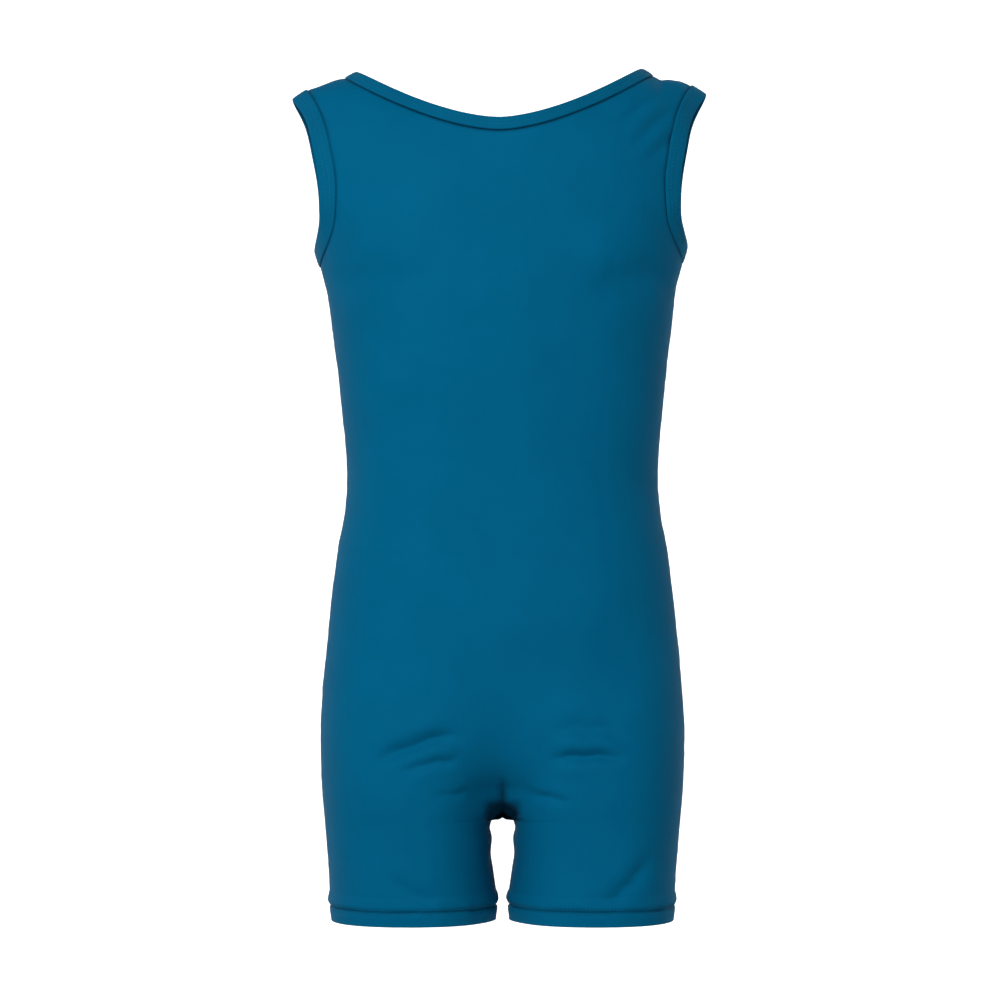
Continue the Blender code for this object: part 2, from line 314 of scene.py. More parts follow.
def turn_at(x, z):
    """The turn at which the trunk has this x."""
    return asin(min(x / half_width(z), 1.0) ** (1.0 / ROUNDNESS)) / (pi / 2)


def inner_edge(z):
    """Distance of the inseam from the centre plane, 0 where the legs are joined."""
    drop = CROTCH_Z - z
    if drop < LEAST_DROP:
        return 0.0
    return read_table(INSEAM, "drop", drop, "half_gap") + WALL


def leg_point(side, turn, z):
    """A point on a leg: turn is 0 at the inseam, or the centre line above it, and 1 outside."""
    outer = half_width(z)
    middle = (INSEAM_X + outer) / 2
    swing = 2 * turn - 1
    if swing >= 0:
        angle = swing * pi / 2
        x = middle + (outer - middle) * rounded(sin(angle))
    else:
        curl = (CROTCH_Z + CROTCH_RISE[side] - z) / CROTCH_RISE[side]
        reach = asin(min(max(curl, LEAST_CURL), 1.0))
        angle = -swing * reach
        inward = rounded(sin(angle) / sin(reach))
        x = middle - (middle - INSEAM_X) * inward
        x += (inner_edge(z) - INSEAM_X) * inward**INSEAM_CLOSENESS
    y = depth(side, z) * rounded(cos(angle))
    return Vector((x, side * (y + SEAM_GAP / 2), z))


def body_point(side, turn, z):
    """The trunk, passing smoothly into the legs."""
    share = min(max((LEG_BLEND_TOP - z) / (LEG_BLEND_TOP - LEG_BLEND_END), 0.0), 1.0)
    share = share * share * (3 - 2 * share)
    trunk = torso_point(side, turn, z)
    return trunk.lerp(leg_point(side, turn, z), share)


def armhole_place(side, step):
    """Turn and height on the armhole seam: step is 0 under the arm and 1 at the shoulder tip."""
    tip_z = shoulder_line(TIP_X)
    if step >= 1.0:
        return turn_at(TIP_X, tip_z), tip_z
    angle = step * pi
    z = ARMHOLE_BOTTOM + (tip_z - ARMHOLE_BOTTOM) * (1 - cos(angle)) / 2
    reach = ARMHOLE_REACH[side] * sin(angle) * (1 + ARMHOLE_EGG * cos(angle))
    inner = 0.0
    outer = min(NECK_POINT_X + (NECK_POINT_Z - z) / SHOULDER_SLOPE, half_width(z))
    for _ in range(ARMHOLE_TRIES):
        x = (inner + outer) / 2
        if abs(torso_point(side, turn_at(x, z), z).y) > reach:
            inner = x
        else:
            outer = x
    return turn_at(x, z), z


def top_place(side, column):
    """Turn and height on the panel's top edge: the neckline, then the shoulder seam."""
    neckline = NECKLINES[side]
    if column <= NECK_COLUMNS:
        share = 1 - (1 - column / NECK_COLUMNS) ** CROWDING
        drop = NECK_POINT_Z - neckline.centre_z
        x = NECK_POINT_X * share
        z = neckline.centre_z + drop * share**neckline.curve
    else:
        share = (column - NECK_COLUMNS) / (HALF_COLUMNS - NECK_COLUMNS)
        x = NECK_POINT_X + (TIP_X - NECK_POINT_X) * share
        z = shoulder_line(x)
    return turn_at(x, z), z


def upper_rows(side):
    """Turns and heights inside the panel above the armhole's bottom, eased between its edges."""
    tops = [top_place(side, column) for column in range(HALF_COLUMNS + 1)]
    centre_top = tops[0][1]
    tip_turn, tip_z = tops[-1]
    rows = []
    for row in range(ARMHOLE_ROWS, -1, -1):
        step = row / ARMHOLE_ROWS
        rise = 1 - (1 - step) ** CROWDING
        edge_turn, edge_z = armhole_place(side, step)
        centre_z = ARMHOLE_BOTTOM + (centre_top - ARMHOLE_BOTTOM) * rise
        places = []
        for column, (top_turn, top_z) in enumerate(tops):
            across = column / HALF_COLUMNS
            turn = (1 - rise) * across + rise * top_turn
            turn += across * (edge_turn - (1 - rise) - rise * tip_turn)
            z = (1 - across) * centre_z + across * edge_z
            z += rise * (top_z - (1 - across) * centre_top - across * tip_z)
            places.append((turn, z))
        rows.append(places)
    return rows


def span_heights(span):
    """Even heights down one span of rows."""
    count = round((span.top - span.bottom) / span.step)
    return [span.top + (span.bottom - span.top) * i / count for i in range(1, count + 1)]


def lower_heights():
    """Heights of the cloth's rows below the armholes, down to the hem."""
    heights = []
    for span in ROWS_ABOVE:
        heights += span_heights(span)
    heights += [CROTCH_Z - drop for drop in ARCH_DROPS]
    return heights + span_heights(ROWS_BELOW)


def cloth_rows(side):
    """Rows of points over half a panel, from its top edge down to the hem."""
    rows = [[torso_point(side, turn, z) for turn, z in places] for places in upper_rows(side)]
    turns = [column / HALF_COLUMNS for column in range(HALF_COLUMNS + 1)]
    rows += [[body_point(side, turn, z) for turn in turns] for z in lower_heights()]
    return rows


def bell(distance, width):
    """1 at no distance, fading smoothly to 0 a few widths away."""
    return exp(-((distance / width) ** 2))


def ease(value, start, end):
    """0 at start, 1 at end, with a soft start and stop."""
    t = min(max((value - start) / (end - start), 0.0), 1.0)
    return t * t * (3 - 2 * t)


def uneven(place, spacing, seed):
    """A steady wander between -1 and 1, for puckers of uneven size and spacing."""
    return noise.noise(Vector((place / spacing, seed, 0.37))) * 1.6


def crease_relief(creases, x, z):
    """Height of the creases here: a trough, and a soft ridge above and below it."""
    height = 0.0
    for crease in creases:
        run_x = crease.x2 - crease.x1
        run_z = crease.z2 - crease.z1
        length = hypot(run_x, run_z)
        along = ((x - crease.x1) * run_x + (z - crease.z1) * run_z) / length**2
        if along < -0.4 or along > 1.4:
            continue
        off = ((x - crease.x1) * -run_z + (z - crease.z1) * run_x) / length
        off -= crease.bow * (1 - (2 * along - 1) ** 2)
        if abs(off) > 6 * crease.width:
            continue
        off += uneven(along * length, 0.011, crease.x1 * 40) * crease.width * 0.3
        strength = ease(along, -0.22, 0.30) * ease(along, 1.22, 0.72)
        trough = bell(off, crease.width)
        ridges = bell(off - 2.2 * crease.width, 1.7 * crease.width) * 0.55
        ridges += bell(off + 2.0 * crease.width, 1.5 * crease.width) * 0.35
        height += crease.depth * strength * (ridges - trough)
    return height


def edge_relief(away, place, seed, deep):
    """The dip beside a seam, with the small puckers that its stitching pulls in."""
    dip = -deep * bell(away, 0.0018)
    pull = bell(away - 0.004, 0.0055) * 0.00022 * uneven(place, 0.0058, seed)
    slow = bell(away, 0.011) * 0.00020 * uneven(place, 0.021, seed + 5)
    return dip + pull + slow


def hem_relief(x, y, z):
    """The turned-up hem: a ridge above its line of stitching, and a fold that leans in below."""
    place = x + 0.7 * y
    line = HEM_STITCH_Z + 0.0007 * uneven(place, 0.024, 1.9)
    height = 0.0006 * ease(z, -0.6215, -0.6250)
    height -= 0.0017 * bell(z - line, 0.0021) * (1 + 0.45 * uneven(place, 0.0090, 7.3))
    height += 0.0006 * bell(z - line - 0.0042, 0.0026) * (1 + 0.55 * uneven(place, 0.0120, 3.1))
    height += 0.00030 * bell(z - line - 0.0040, 0.0050) * uneven(place, 0.0056, 5.1)
    height += 0.00028 * bell(z - line + 0.0045, 0.0050) * uneven(place, 0.0083, 8.4)
    height -= 0.0013 * ease(z, -0.6320, -0.6450)
    return height


def valley_relief(side, x, z):
    """The hollow between the thighs, above the crotch, and the slight one down the back."""
    fade = ease(z, CROTCH_Z - 0.002, CROTCH_Z + 0.022)
    if side == FRONT:
        return -VALLEY * fade * bell(x, VALLEY_WIDTH) * ease(z, -0.415, -0.515)
    return -0.6 * VALLEY * fade * bell(x, 0.8 * VALLEY_WIDTH) * ease(z, -0.425, -0.500)


def tuck(side, x, z):
    """How far the cloth at the very crotch is drawn in, under a soft arched lip."""
    lip = LIP_Z - 45.0 * x * x + 0.0008 * uneven(x, 0.006, 6.6)
    within = ease(z, lip + 0.0012, lip - 0.0030) * ease(abs(x), 0.0150, 0.0105)
    return -side * TUCK * within * ease(z, CROTCH_Z - 0.004, CROTCH_Z)


def centre_seam_relief(x, z):
    """The short seam up the crotch, with the pucker at its top."""
    fade = ease(z, -0.5300, -0.5480)
    height = -0.0009 * fade * bell(x, 0.0011)
    height += 0.0004 * fade * bell(abs(x) - 0.0035, 0.0022) * (1 + 0.5 * uneven(z, 0.0040, 2.2))
    return height


def distance_from(points):
    """A function giving how far a place is from the line through these points."""
    tree = kdtree.KDTree(len(points))
    for i, point in enumerate(points):
        tree.insert(point, i)
    tree.balance()

    def distance(place):
        _, nearest, least = tree.find(place)
        for i in (nearest - 1, nearest):
            if 0 <= i < len(points) - 1:
                foot, share = geometry.intersect_point_line(place, points[i], points[i + 1])
                if 0.0 <= share <= 1.0:
                    least = min(least, (place - foot).length)
        return least

    return distance


def cloth_relief(side, point, away):
    """Height of every crease, seam and hem at one place of a panel."""
    x, y, z = point
    height = crease_relief(FRONT_CREASES if side == FRONT else BACK_CREASES, x, z)
    height += edge_relief(away.side, z, 1.3 * side + (x > 0), SEAM_DIP)
    height += edge_relief(away.shoulder, x, 4.0 + side, SEAM_DIP)
    height += edge_relief(away.neck, x, 6.0 + side, NECK_DIP)
    height += edge_relief(away.armhole, z + y, 8.0 + side + (x > 0), ARMHOLE_DIP)
    height += valley_relief(side, x, z)
    if z < -0.60:
        height += hem_relief(x, y, z)
    if abs(x) < 0.012 and z < -0.52:
        height += centre_seam_relief(x, z)
    height += 0.00012 * noise.noise(Vector((x * 38, y * 38, z * 27)))
    return height


def ditch_shade(point, away):
    """How much painted shade darkens the cloth's colour here, in the sewn ditches: most beside the
    bands and at the crotch.
    """
    x, _, z = point
    shade = 0.22 * bell(away.side, 0.0014)
    shade = max(shade, 0.35 * bell(away.shoulder, 0.0012))
    beside_band = BAND_LAP + 0.0005
    shade = max(shade, bell(away.neck - beside_band, 0.0013))
    under_arm = 0.5 + 0.4 * ease(z, -0.060, -0.130)
    shade = max(shade, under_arm * bell(away.armhole - beside_band, 0.0013))
    shade = max(shade, 0.42 * bell(z - HEM_STITCH_Z, 0.0018))
    if z < -0.535 and z > CROTCH_Z - 0.002:
        shade = max(shade, 0.7 * bell(x, 0.0009) * ease(z, -0.535, -0.552))
        under_lip = ease(z, LIP_Z + 0.0010, LIP_Z - 0.0050)
        shade = max(shade, 0.62 * ease(abs(x), 0.0155, 0.0085) * under_lip)
    return shade


def distances_along(points):
    """Running length along a row of points."""
    lengths = [0.0]
    for before, after in zip(points, points[1:]):
        lengths.append(lengths[-1] + (after - before).length)
    return lengths


def evenly_along(lengths, count, start):
    """Even places on a row of running lengths: the step each falls in, and how far into it."""
    step = 0
    for k in range(count):
        target = (k + start) * lengths[-1] / count
        while lengths[step + 1] <= target:
            step += 1
        yield step, (target - lengths[step]) / (lengths[step + 1] - lengths[step])


def make_panel(name, side):
    """A panel's thin shell: both halves of its form, creased, and given the cloth's thickness."""
    rows = cloth_rows(side)
    across = [distances_along(row) for row in rows]
    down = [distances_along(column) for column in zip(*rows)]
    build = bmesh.new()
    uv_layer = build.loops.layers.uv.new("cloth")
    painted_shade = build.verts.layers.float.new("painted_shade")
    places = {}
    grids = {}
    for hand in (-1, 1):
        grid = []
        for r, row in enumerate(rows):
            line = []
            for c, point in enumerate(row):
                vertex = build.verts.new((hand * point.x, point.y, point.z))
                places[vertex] = (r, c, hand)
                line.append(vertex)
            grid.append(line)
        grids[hand] = grid
        for r in range(len(rows) - 1):
            for c in range(HALF_COLUMNS):
                corners = [(r, c), (r + 1, c), (r + 1, c + 1), (r, c + 1)]
                if side * hand > 0:
                    corners.reverse()
                face = build.faces.new([grid[i][j] for i, j in corners])
                for loop, (i, j) in zip(face.loops, corners):
                    loop[uv_layer].uv = (0.5 + hand * across[i][j], 0.98 - down[j][i])
    middle = [vertex for vertex in build.verts if abs(vertex.co.x) < LEAST_DROP]
    bmesh.ops.remove_doubles(build, verts=middle, dist=LEAST_DROP)
    build.normal_update()
    neckline = [(rows[0][c], grids[1][0][c].normal.copy()) for c in range(NECK_COLUMNS + 1)]
    armhole = [
        (rows[r][HALF_COLUMNS], grids[1][r][HALF_COLUMNS].normal.copy())
        for r in range(ARMHOLE_ROWS, -1, -1)
    ]
    to_neck = distance_from([point for point, _ in neckline])
    to_armhole = distance_from([point for point, _ in armhole])
    moves = []
    for vertex in build.verts:
        r, c, _ = places[vertex]
        half_place = rows[r][c]
        near_top = half_place.z > ARMHOLE_BOTTOM - 0.03
        away = Away(
            across[r][-1] - across[r][c] if r >= ARMHOLE_ROWS else FAR,
            down[c][r] if c > NECK_COLUMNS else FAR,
            to_neck(half_place) if near_top else FAR,
            to_armhole(half_place) if near_top else FAR,
        )
        # painted shade, kept on each point for the material to darken the cloth's colour with
        vertex[painted_shade] = ditch_shade(vertex.co, away)
        moves.append(cloth_relief(side, vertex.co, away))
    for vertex, move in zip(build.verts, moves):
        r, c, _ = places[vertex]
        away = vertex.normal.copy()
        if c == HALF_COLUMNS or (c == 0 and vertex.co.z < CROTCH_Z):
            away.y = 0.0
            away.normalize()
        vertex.co += away * move
        vertex.co.y += tuck(side, vertex.co.x, vertex.co.z)
    panel = make_object(name, build)
    solidify = panel.modifiers.new("Cloth", "SOLIDIFY")
    solidify.thickness = SHELL
    solidify.offset = 1.0
    return panel, neckline, armhole


def leaned(point):
    """Where a place comes to once the garment leans a little to one side above the waist."""
    x, y, z = point
    t = min(max((z - LEAN_FROM) / (LEAN_TO - LEAN_FROM), 0.0), 1.0)
    risen = (LEAN_TO - LEAN_FROM) * (t**3 - t**4 / 2) + max(z - LEAN_TO, 0.0)
    near = ease(z, shoulder_line(x) - 0.030, shoulder_line(x) - 0.004)
    wave = sum(bump.rise * bell(x - bump.x, bump.width) for bump in SHOULDER_BUMPS)
    return Vector((x - LEAN * risen, y, z + LEAN * x * t * t * (3 - 2 * t) + wave * near))


def make_object(name, build):
    """An object from a finished build, leaned with the garment."""
    for vertex in build.verts:
        vertex.co = leaned(vertex.co)
    mesh = bpy.data.meshes.new(name)
    build.to_mesh(mesh)
    build.free()
    mesh.shade_smooth()
    thing = bpy.data.objects.new(name, mesh)
    bpy.context.scene.collection.objects.link(thing)
    return thing


def joined(front_edge, back_edge):
    """The place where a front and a back edge meet: midway, facing between the two."""
    point = (front_edge[0] + back_edge[0]) / 2
    normal = front_edge[1] + back_edge[1]
    return Vector((point.x, 0.0, point.z)), Vector((normal.x, 0.0, normal.z)).normalized()


def smoothed(directions, passes):
    """Directions round a closed loop, each eased towards its neighbours."""
    for _ in range(passes):
        count = len(directions)
        directions = [
            (directions[i - 1] + directions[i] * 2 + directions[(i + 1) % count]).normalized()
            for i in range(count)
        ]
    return directions


def evenly_spaced(places, count):
    """The same closed edge with its places at even distances."""
    lengths = distances_along([point for point, _ in places] + [places[0][0]])
    even = []
    for step, share in evenly_along(lengths, count, 0.0):
        before = places[step]
        after = places[(step + 1) % len(places)]
        even.append((before[0].lerp(after[0], share), before[1].lerp(after[1], share)))
    return even


def band_frames(places, count, flip):
    """Along a closed edge: the point, the way off the panel, and the way out."""
    places = evenly_spaced(places, count)
    seams = [point for point, _ in places]
    normals = smoothed([normal.normalized() for _, normal in places], NORMAL_PASSES)
    tangents = [(seams[(i + 1) % count] - seams[i - 1]).normalized() for i in range(count)]
    tangents = smoothed(tangents, TANGENT_PASSES)
    frames = []
    for seam, normal, tangent in zip(seams, normals, tangents):
        off_panel = (tangent.cross(normal) * flip).normalized()
        frames.append((seam, off_panel, normal))
    return frames


def neck_frames(front_neckline, back_neckline):
    """Frames all round the neck, from the front centre by way of the wearer's left."""
    neck_point = joined(front_neckline[-1], back_neckline[-1])
    half = front_neckline[:-1] + [neck_point] + back_neckline[-2::-1]
    other = [
        (Vector((-point.x, point.y, point.z)), Vector((-normal.x, normal.y, normal.z)))
        for point, normal in reversed(half[1:-1])
    ]
    return band_frames(half + other, NECK_PLACES, -1)


def armhole_frames(front_armhole, back_armhole):
    """Frames all round the wearer's left armhole, from under the arm by way of the front."""
    places = [joined(front_armhole[0], back_armhole[0])] + front_armhole[1:-1]
    places += [joined(front_armhole[-1], back_armhole[-1])] + back_armhole[-2:0:-1]
    return band_frames(places, ARMHOLE_PLACES, 1)


def armhole_leans(frames, hand):
    """The band stands off a little round the arm, and bends down with the shoulder at the tip."""
    leans = []
    for seam, _, _ in frames:
        flare = ARMHOLE_FLARES[hand]
        flare += (UNDERARM_FLARE - flare) * ease(seam.z, UNDERARM_FLARE_TO, ARMHOLE_BOTTOM)
        flare += (TIP_FLARE - flare) * ease(seam.z, TIP_FLARE_FROM, shoulder_line(TIP_X))
        leans.append(flare)
    return leans


def band_place(frame_here, lean, across, out):
    """A point beside an edge: across is the way off the panel and out is above the cloth."""
    seam, off_panel, normal = frame_here
    along = off_panel * cos(lean) + normal * sin(lean)
    upward = normal * cos(lean) - off_panel * sin(lean)
    return seam + along * across + upward * out


def band_section(width):
    """Outline of a folded band: flat, with round edges."""
    outline = []
    for k in range(BAND_SIDES):
        angle = 2 * pi * k / BAND_SIDES
        across = cos(angle)
        out = sin(angle)
        across = abs(across) ** 0.45 * (1 if across > 0 else -1)
        out = abs(out) ** 0.55 * (1 if out > 0 else -1)
        outline.append(((width + BAND_LAP) * (0.5 - 0.5 * across), out))
    return outline


def make_band(name, frames, width, leans, hand, seed):
    """A folded band round an edge, with the fine waviness that its stitching gives it."""
    outline = band_section(width)
    middle = (BAND_OUT + BAND_IN) / 2
    half = (BAND_OUT - BAND_IN) / 2
    build = bmesh.new()
    uv_layer = build.loops.layers.uv.new("cloth")
    lengths = distances_along([seam for seam, _, _ in frames] + [frames[0][0]])
    rings = []
    for place, lean, here in zip(lengths, leans, frames):
        turn = 2 * pi * place / lengths[-1]
        round_seed = seed + 2.4 * cos(turn)
        puff = 1 + 0.10 * uneven(2.4 * sin(turn) * 0.02, 0.0030, round_seed * 9)
        ring = []
        for across, out in outline:
            point = band_place(here, lean, across - BAND_LAP, middle + half * out * puff)
            ring.append(build.verts.new((hand * point.x, point.y, point.z)))
        rings.append(ring)
    count = len(rings)
    for s in range(count):
        for k in range(BAND_SIDES):
            after = (k + 1) % BAND_SIDES
            corners = [(s, k), (s, k + 1), (s + 1, k + 1), (s + 1, k)]
            following = rings[(s + 1) % count]
            face = build.faces.new([rings[s][k], rings[s][after], following[after], following[k]])
            for loop, (i, j) in zip(face.loops, corners):
                loop[uv_layer].uv = (lengths[i] * 0.9 + 0.02, 0.02 + 0.0014 * j)
    bmesh.ops.recalc_face_normals(build, faces=build.faces[:])
    return make_object(name, build)


def stitch_anchors(frames, leans, across, out, hand):
    """Places, directions and facings of a row of stitches round an edge's band."""
    points = [band_place(here, lean, across, out) for here, lean in zip(frames, leans)]
    points.append(points[0])
    lengths = distances_along(points)
    anchors = []
    for step, share in evenly_along(lengths, int(lengths[-1] / STITCH_PITCH), 0.5):
        point = points[step].lerp(points[step + 1], share)
        lie = (points[step + 1] - points[step]).normalized()
        _, off_panel, normal = frames[step]
        face = normal * cos(leans[step]) - off_panel * sin(leans[step])
        anchors.append([Vector((hand * v.x, v.y, v.z)) for v in (point, lie, face)])
    return anchors


def hem_anchors(hand, z, out):
    """A row of stitches round one leg's hem, on the wearer's left for 1 and right for -1."""
    ring = [leg_point(FRONT, i / HEM_PLACES, z) for i in range(HEM_PLACES)]
    ring += [leg_point(BACK, i / HEM_PLACES, z) for i in range(HEM_PLACES, 0, -1)]
    ring.append(ring[0])
    lengths = distances_along(ring)
    centre = Vector((sum(p.x for p in ring) / len(ring), 0.0, z))
    anchors = []
    for step, share in evenly_along(lengths, int(lengths[-1] / STITCH_PITCH), 0.5):
        lie = (ring[step + 1] - ring[step]).normalized()
        face = lie.cross(Vector((0.0, 0.0, 1.0)))
        point = ring[step].lerp(ring[step + 1], share)
        if face.dot(point - centre) < 0:
            face.negate()
        point = point + face * out
        anchors.append([Vector((hand * v.x, v.y, v.z)) for v in (point, lie, face)])
    return anchors


def reckon(tree, operation, *values):
    """A Math node in a tree, fed by numbers or by other nodes; gives its output."""
    node = tree.nodes.new("ShaderNodeMath")
    node.operation = operation
    for socket, value in zip(node.inputs, values):
        if isinstance(value, (int, float)):
            socket.default_value = value
        else:
            tree.links.new(value, socket)
    return node.outputs[0]


def stitch_tree():
    """Lays a stitch on every anchor point, along its direction and facing its way."""
    tree = bpy.data.node_groups.new("stitches", "GeometryNodeTree")
    new = tree.interface.new_socket
    new("Geometry", in_out="INPUT", socket_type="NodeSocketGeometry")
    for label, value in (("Stitch length", STITCH_LENGTH), ("Thread", THREAD), ("Unevenness", 0.12)):
        socket = new(label, in_out="INPUT", socket_type="NodeSocketFloat")
        socket.default_value = value
    new("Seed", in_out="INPUT", socket_type="NodeSocketInt")
    new("Material", in_out="INPUT", socket_type="NodeSocketMaterial")
    new("Geometry", in_out="OUTPUT", socket_type="NodeSocketGeometry")
    nodes = tree.nodes
    link = tree.links.new
    entry = nodes.new("NodeGroupInput")
    leave = nodes.new("NodeGroupOutput")
    ball = nodes.new("GeometryNodeMeshUVSphere")
    ball.inputs["Segments"].default_value = 7
    ball.inputs["Rings"].default_value = 5
    ball.inputs["Radius"].default_value = 1.0
    size = nodes.new("ShaderNodeCombineXYZ")
    shape = nodes.new("GeometryNodeTransform")
    lie = nodes.new("GeometryNodeInputNamedAttribute")
    face = nodes.new("GeometryNodeInputNamedAttribute")
    for node, attribute in ((lie, "lie"), (face, "face")):
        node.data_type = "FLOAT_VECTOR"
        node.inputs["Name"].default_value = attribute
    upright = nodes.new("FunctionNodeAlignRotationToVector")
    upright.axis = "Z"
    turned = nodes.new("FunctionNodeAlignRotationToVector")
    turned.axis = "X"
    turned.pivot_axis = "Z"
    wander = nodes.new("FunctionNodeRandomValue")
    wander.data_type = "FLOAT"
    lay = nodes.new("GeometryNodeInstanceOnPoints")
    real = nodes.new("GeometryNodeRealizeInstances")
    paint = nodes.new("GeometryNodeSetMaterial")
    smooth = nodes.new("GeometryNodeSetShadeSmooth")
    link(reckon(tree, "MULTIPLY", entry.outputs["Stitch length"], 0.5), size.inputs["X"])
    link(entry.outputs["Thread"], size.inputs["Y"])
    link(entry.outputs["Thread"], size.inputs["Z"])
    link(ball.outputs["Mesh"], shape.inputs["Geometry"])
    link(size.outputs[0], shape.inputs["Scale"])
    link(face.outputs["Attribute"], upright.inputs["Vector"])
    link(upright.outputs["Rotation"], turned.inputs["Rotation"])
    link(lie.outputs["Attribute"], turned.inputs["Vector"])
    link(reckon(tree, "SUBTRACT", 1.0, entry.outputs["Unevenness"]), wander.inputs[2])
    wander.inputs[3].default_value = 1.0
    link(entry.outputs["Seed"], wander.inputs["Seed"])
    link(entry.outputs["Geometry"], lay.inputs["Points"])
    link(shape.outputs["Geometry"], lay.inputs["Instance"])
    link(turned.outputs["Rotation"], lay.inputs["Rotation"])
    link(wander.outputs[1], lay.inputs["Scale"])
    link(lay.outputs["Instances"], real.inputs["Geometry"])
    link(real.outputs["Geometry"], smooth.inputs["Geometry"])
    link(smooth.outputs["Geometry"], paint.inputs["Geometry"])
    link(entry.outputs["Material"], paint.inputs["Material"])
    link(paint.outputs["Geometry"], leave.inputs["Geometry"])
    return tree


def make_stitches(name, anchors, tree, material, seed):
    """Stitches on their anchors, as one plain mesh."""
    mesh = bpy.data.meshes.new(name)
    mesh.from_pydata([leaned(anchor[0]) for anchor in anchors], [], [])
    for index, attribute in ((1, "lie"), (2, "face")):
        layer = mesh.attributes.new(attribute, "FLOAT_VECTOR", "POINT")
        for item, anchor in zip(layer.data, anchors):
            item.vector = anchor[index]
    guide = bpy.data.objects.new(name + "_guide", mesh)
    bpy.context.scene.collection.objects.link(guide)
    modifier = guide.modifiers.new("Stitches", "NODES")
    modifier.node_group = tree
    items = tree.interface.items_tree
    sockets = {item.name: item.identifier for item in items if item.in_out == "INPUT"}
    modifier[sockets["Material"]] = material
    modifier[sockets["Seed"]] = seed
    seen = guide.evaluated_get(bpy.context.evaluated_depsgraph_get())
    result = bpy.data.objects.new(name, bpy.data.meshes.new_from_object(seen))
    result.data.name = name
    bpy.context.scene.collection.objects.link(result)
    bpy.data.objects.remove(guide, do_unlink=True)
    return result


def knit_group():
    """Fine jersey loops from a map in metres: how high the yarn stands, and a painted shade, lighter
    on the loops' tops and darker between them, with a random tone.
    """
    group = bpy.data.node_groups.new("knit_loops", "ShaderNodeTree")
    new = group.interface.new_socket
    new("Map", in_out="INPUT", socket_type="NodeSocketVector")
    for label, value in (("Wale", 0.00075), ("Course", 0.00060)):
        socket = new(label, in_out="INPUT", socket_type="NodeSocketFloat")
        socket.default_value = value
    new("Height", in_out="OUTPUT", socket_type="NodeSocketFloat")
    new("Shade", in_out="OUTPUT", socket_type="NodeSocketFloat")
    nodes = group.nodes
    link = group.links.new
    entry = nodes.new("NodeGroupInput")
    leave = nodes.new("NodeGroupOutput")

    split = nodes.new("ShaderNodeSeparateXYZ")
    link(entry.outputs["Map"], split.inputs[0])
    wander = nodes.new("ShaderNodeTexNoise")
    wander.inputs["Scale"].default_value = 420.0
    wander.inputs["Detail"].default_value = 2.0
    link(entry.outputs["Map"], wander.inputs["Vector"])
    sway = reckon(group, "MULTIPLY", reckon(group, "SUBTRACT", wander.outputs["Fac"], 0.5), 0.9)
    column = reckon(group, "DIVIDE", split.outputs["X"], entry.outputs["Wale"])
    column = reckon(group, "ADD", column, sway)
    course = reckon(group, "DIVIDE", split.outputs["Y"], entry.outputs["Course"])
    leg = reckon(group, "SUBTRACT", reckon(group, "FRACT", column), 0.5)
    leg = reckon(group, "ABSOLUTE", leg)
    slant = reckon(group, "ADD", course, reckon(group, "MULTIPLY", leg, 1.6))
    loop = reckon(group, "SINE", reckon(group, "MULTIPLY", slant, 2 * pi))
    ridge = reckon(group, "SINE", reckon(group, "MULTIPLY", leg, 2 * pi))
    height = reckon(group, "ADD", reckon(group, "MULTIPLY", loop, 0.35), 1.0)
    height = reckon(group, "MULTIPLY", height, ridge)
    link(height, leave.inputs["Height"])
    # painted shade: the yarn's tops lighter and the hollows between loops darker, with a random tone
    # from the noise
    shade = reckon(group, "ADD", height, wander.outputs["Fac"])
    link(reckon(group, "MULTIPLY", shade, 0.5), leave.inputs["Shade"])
    return group


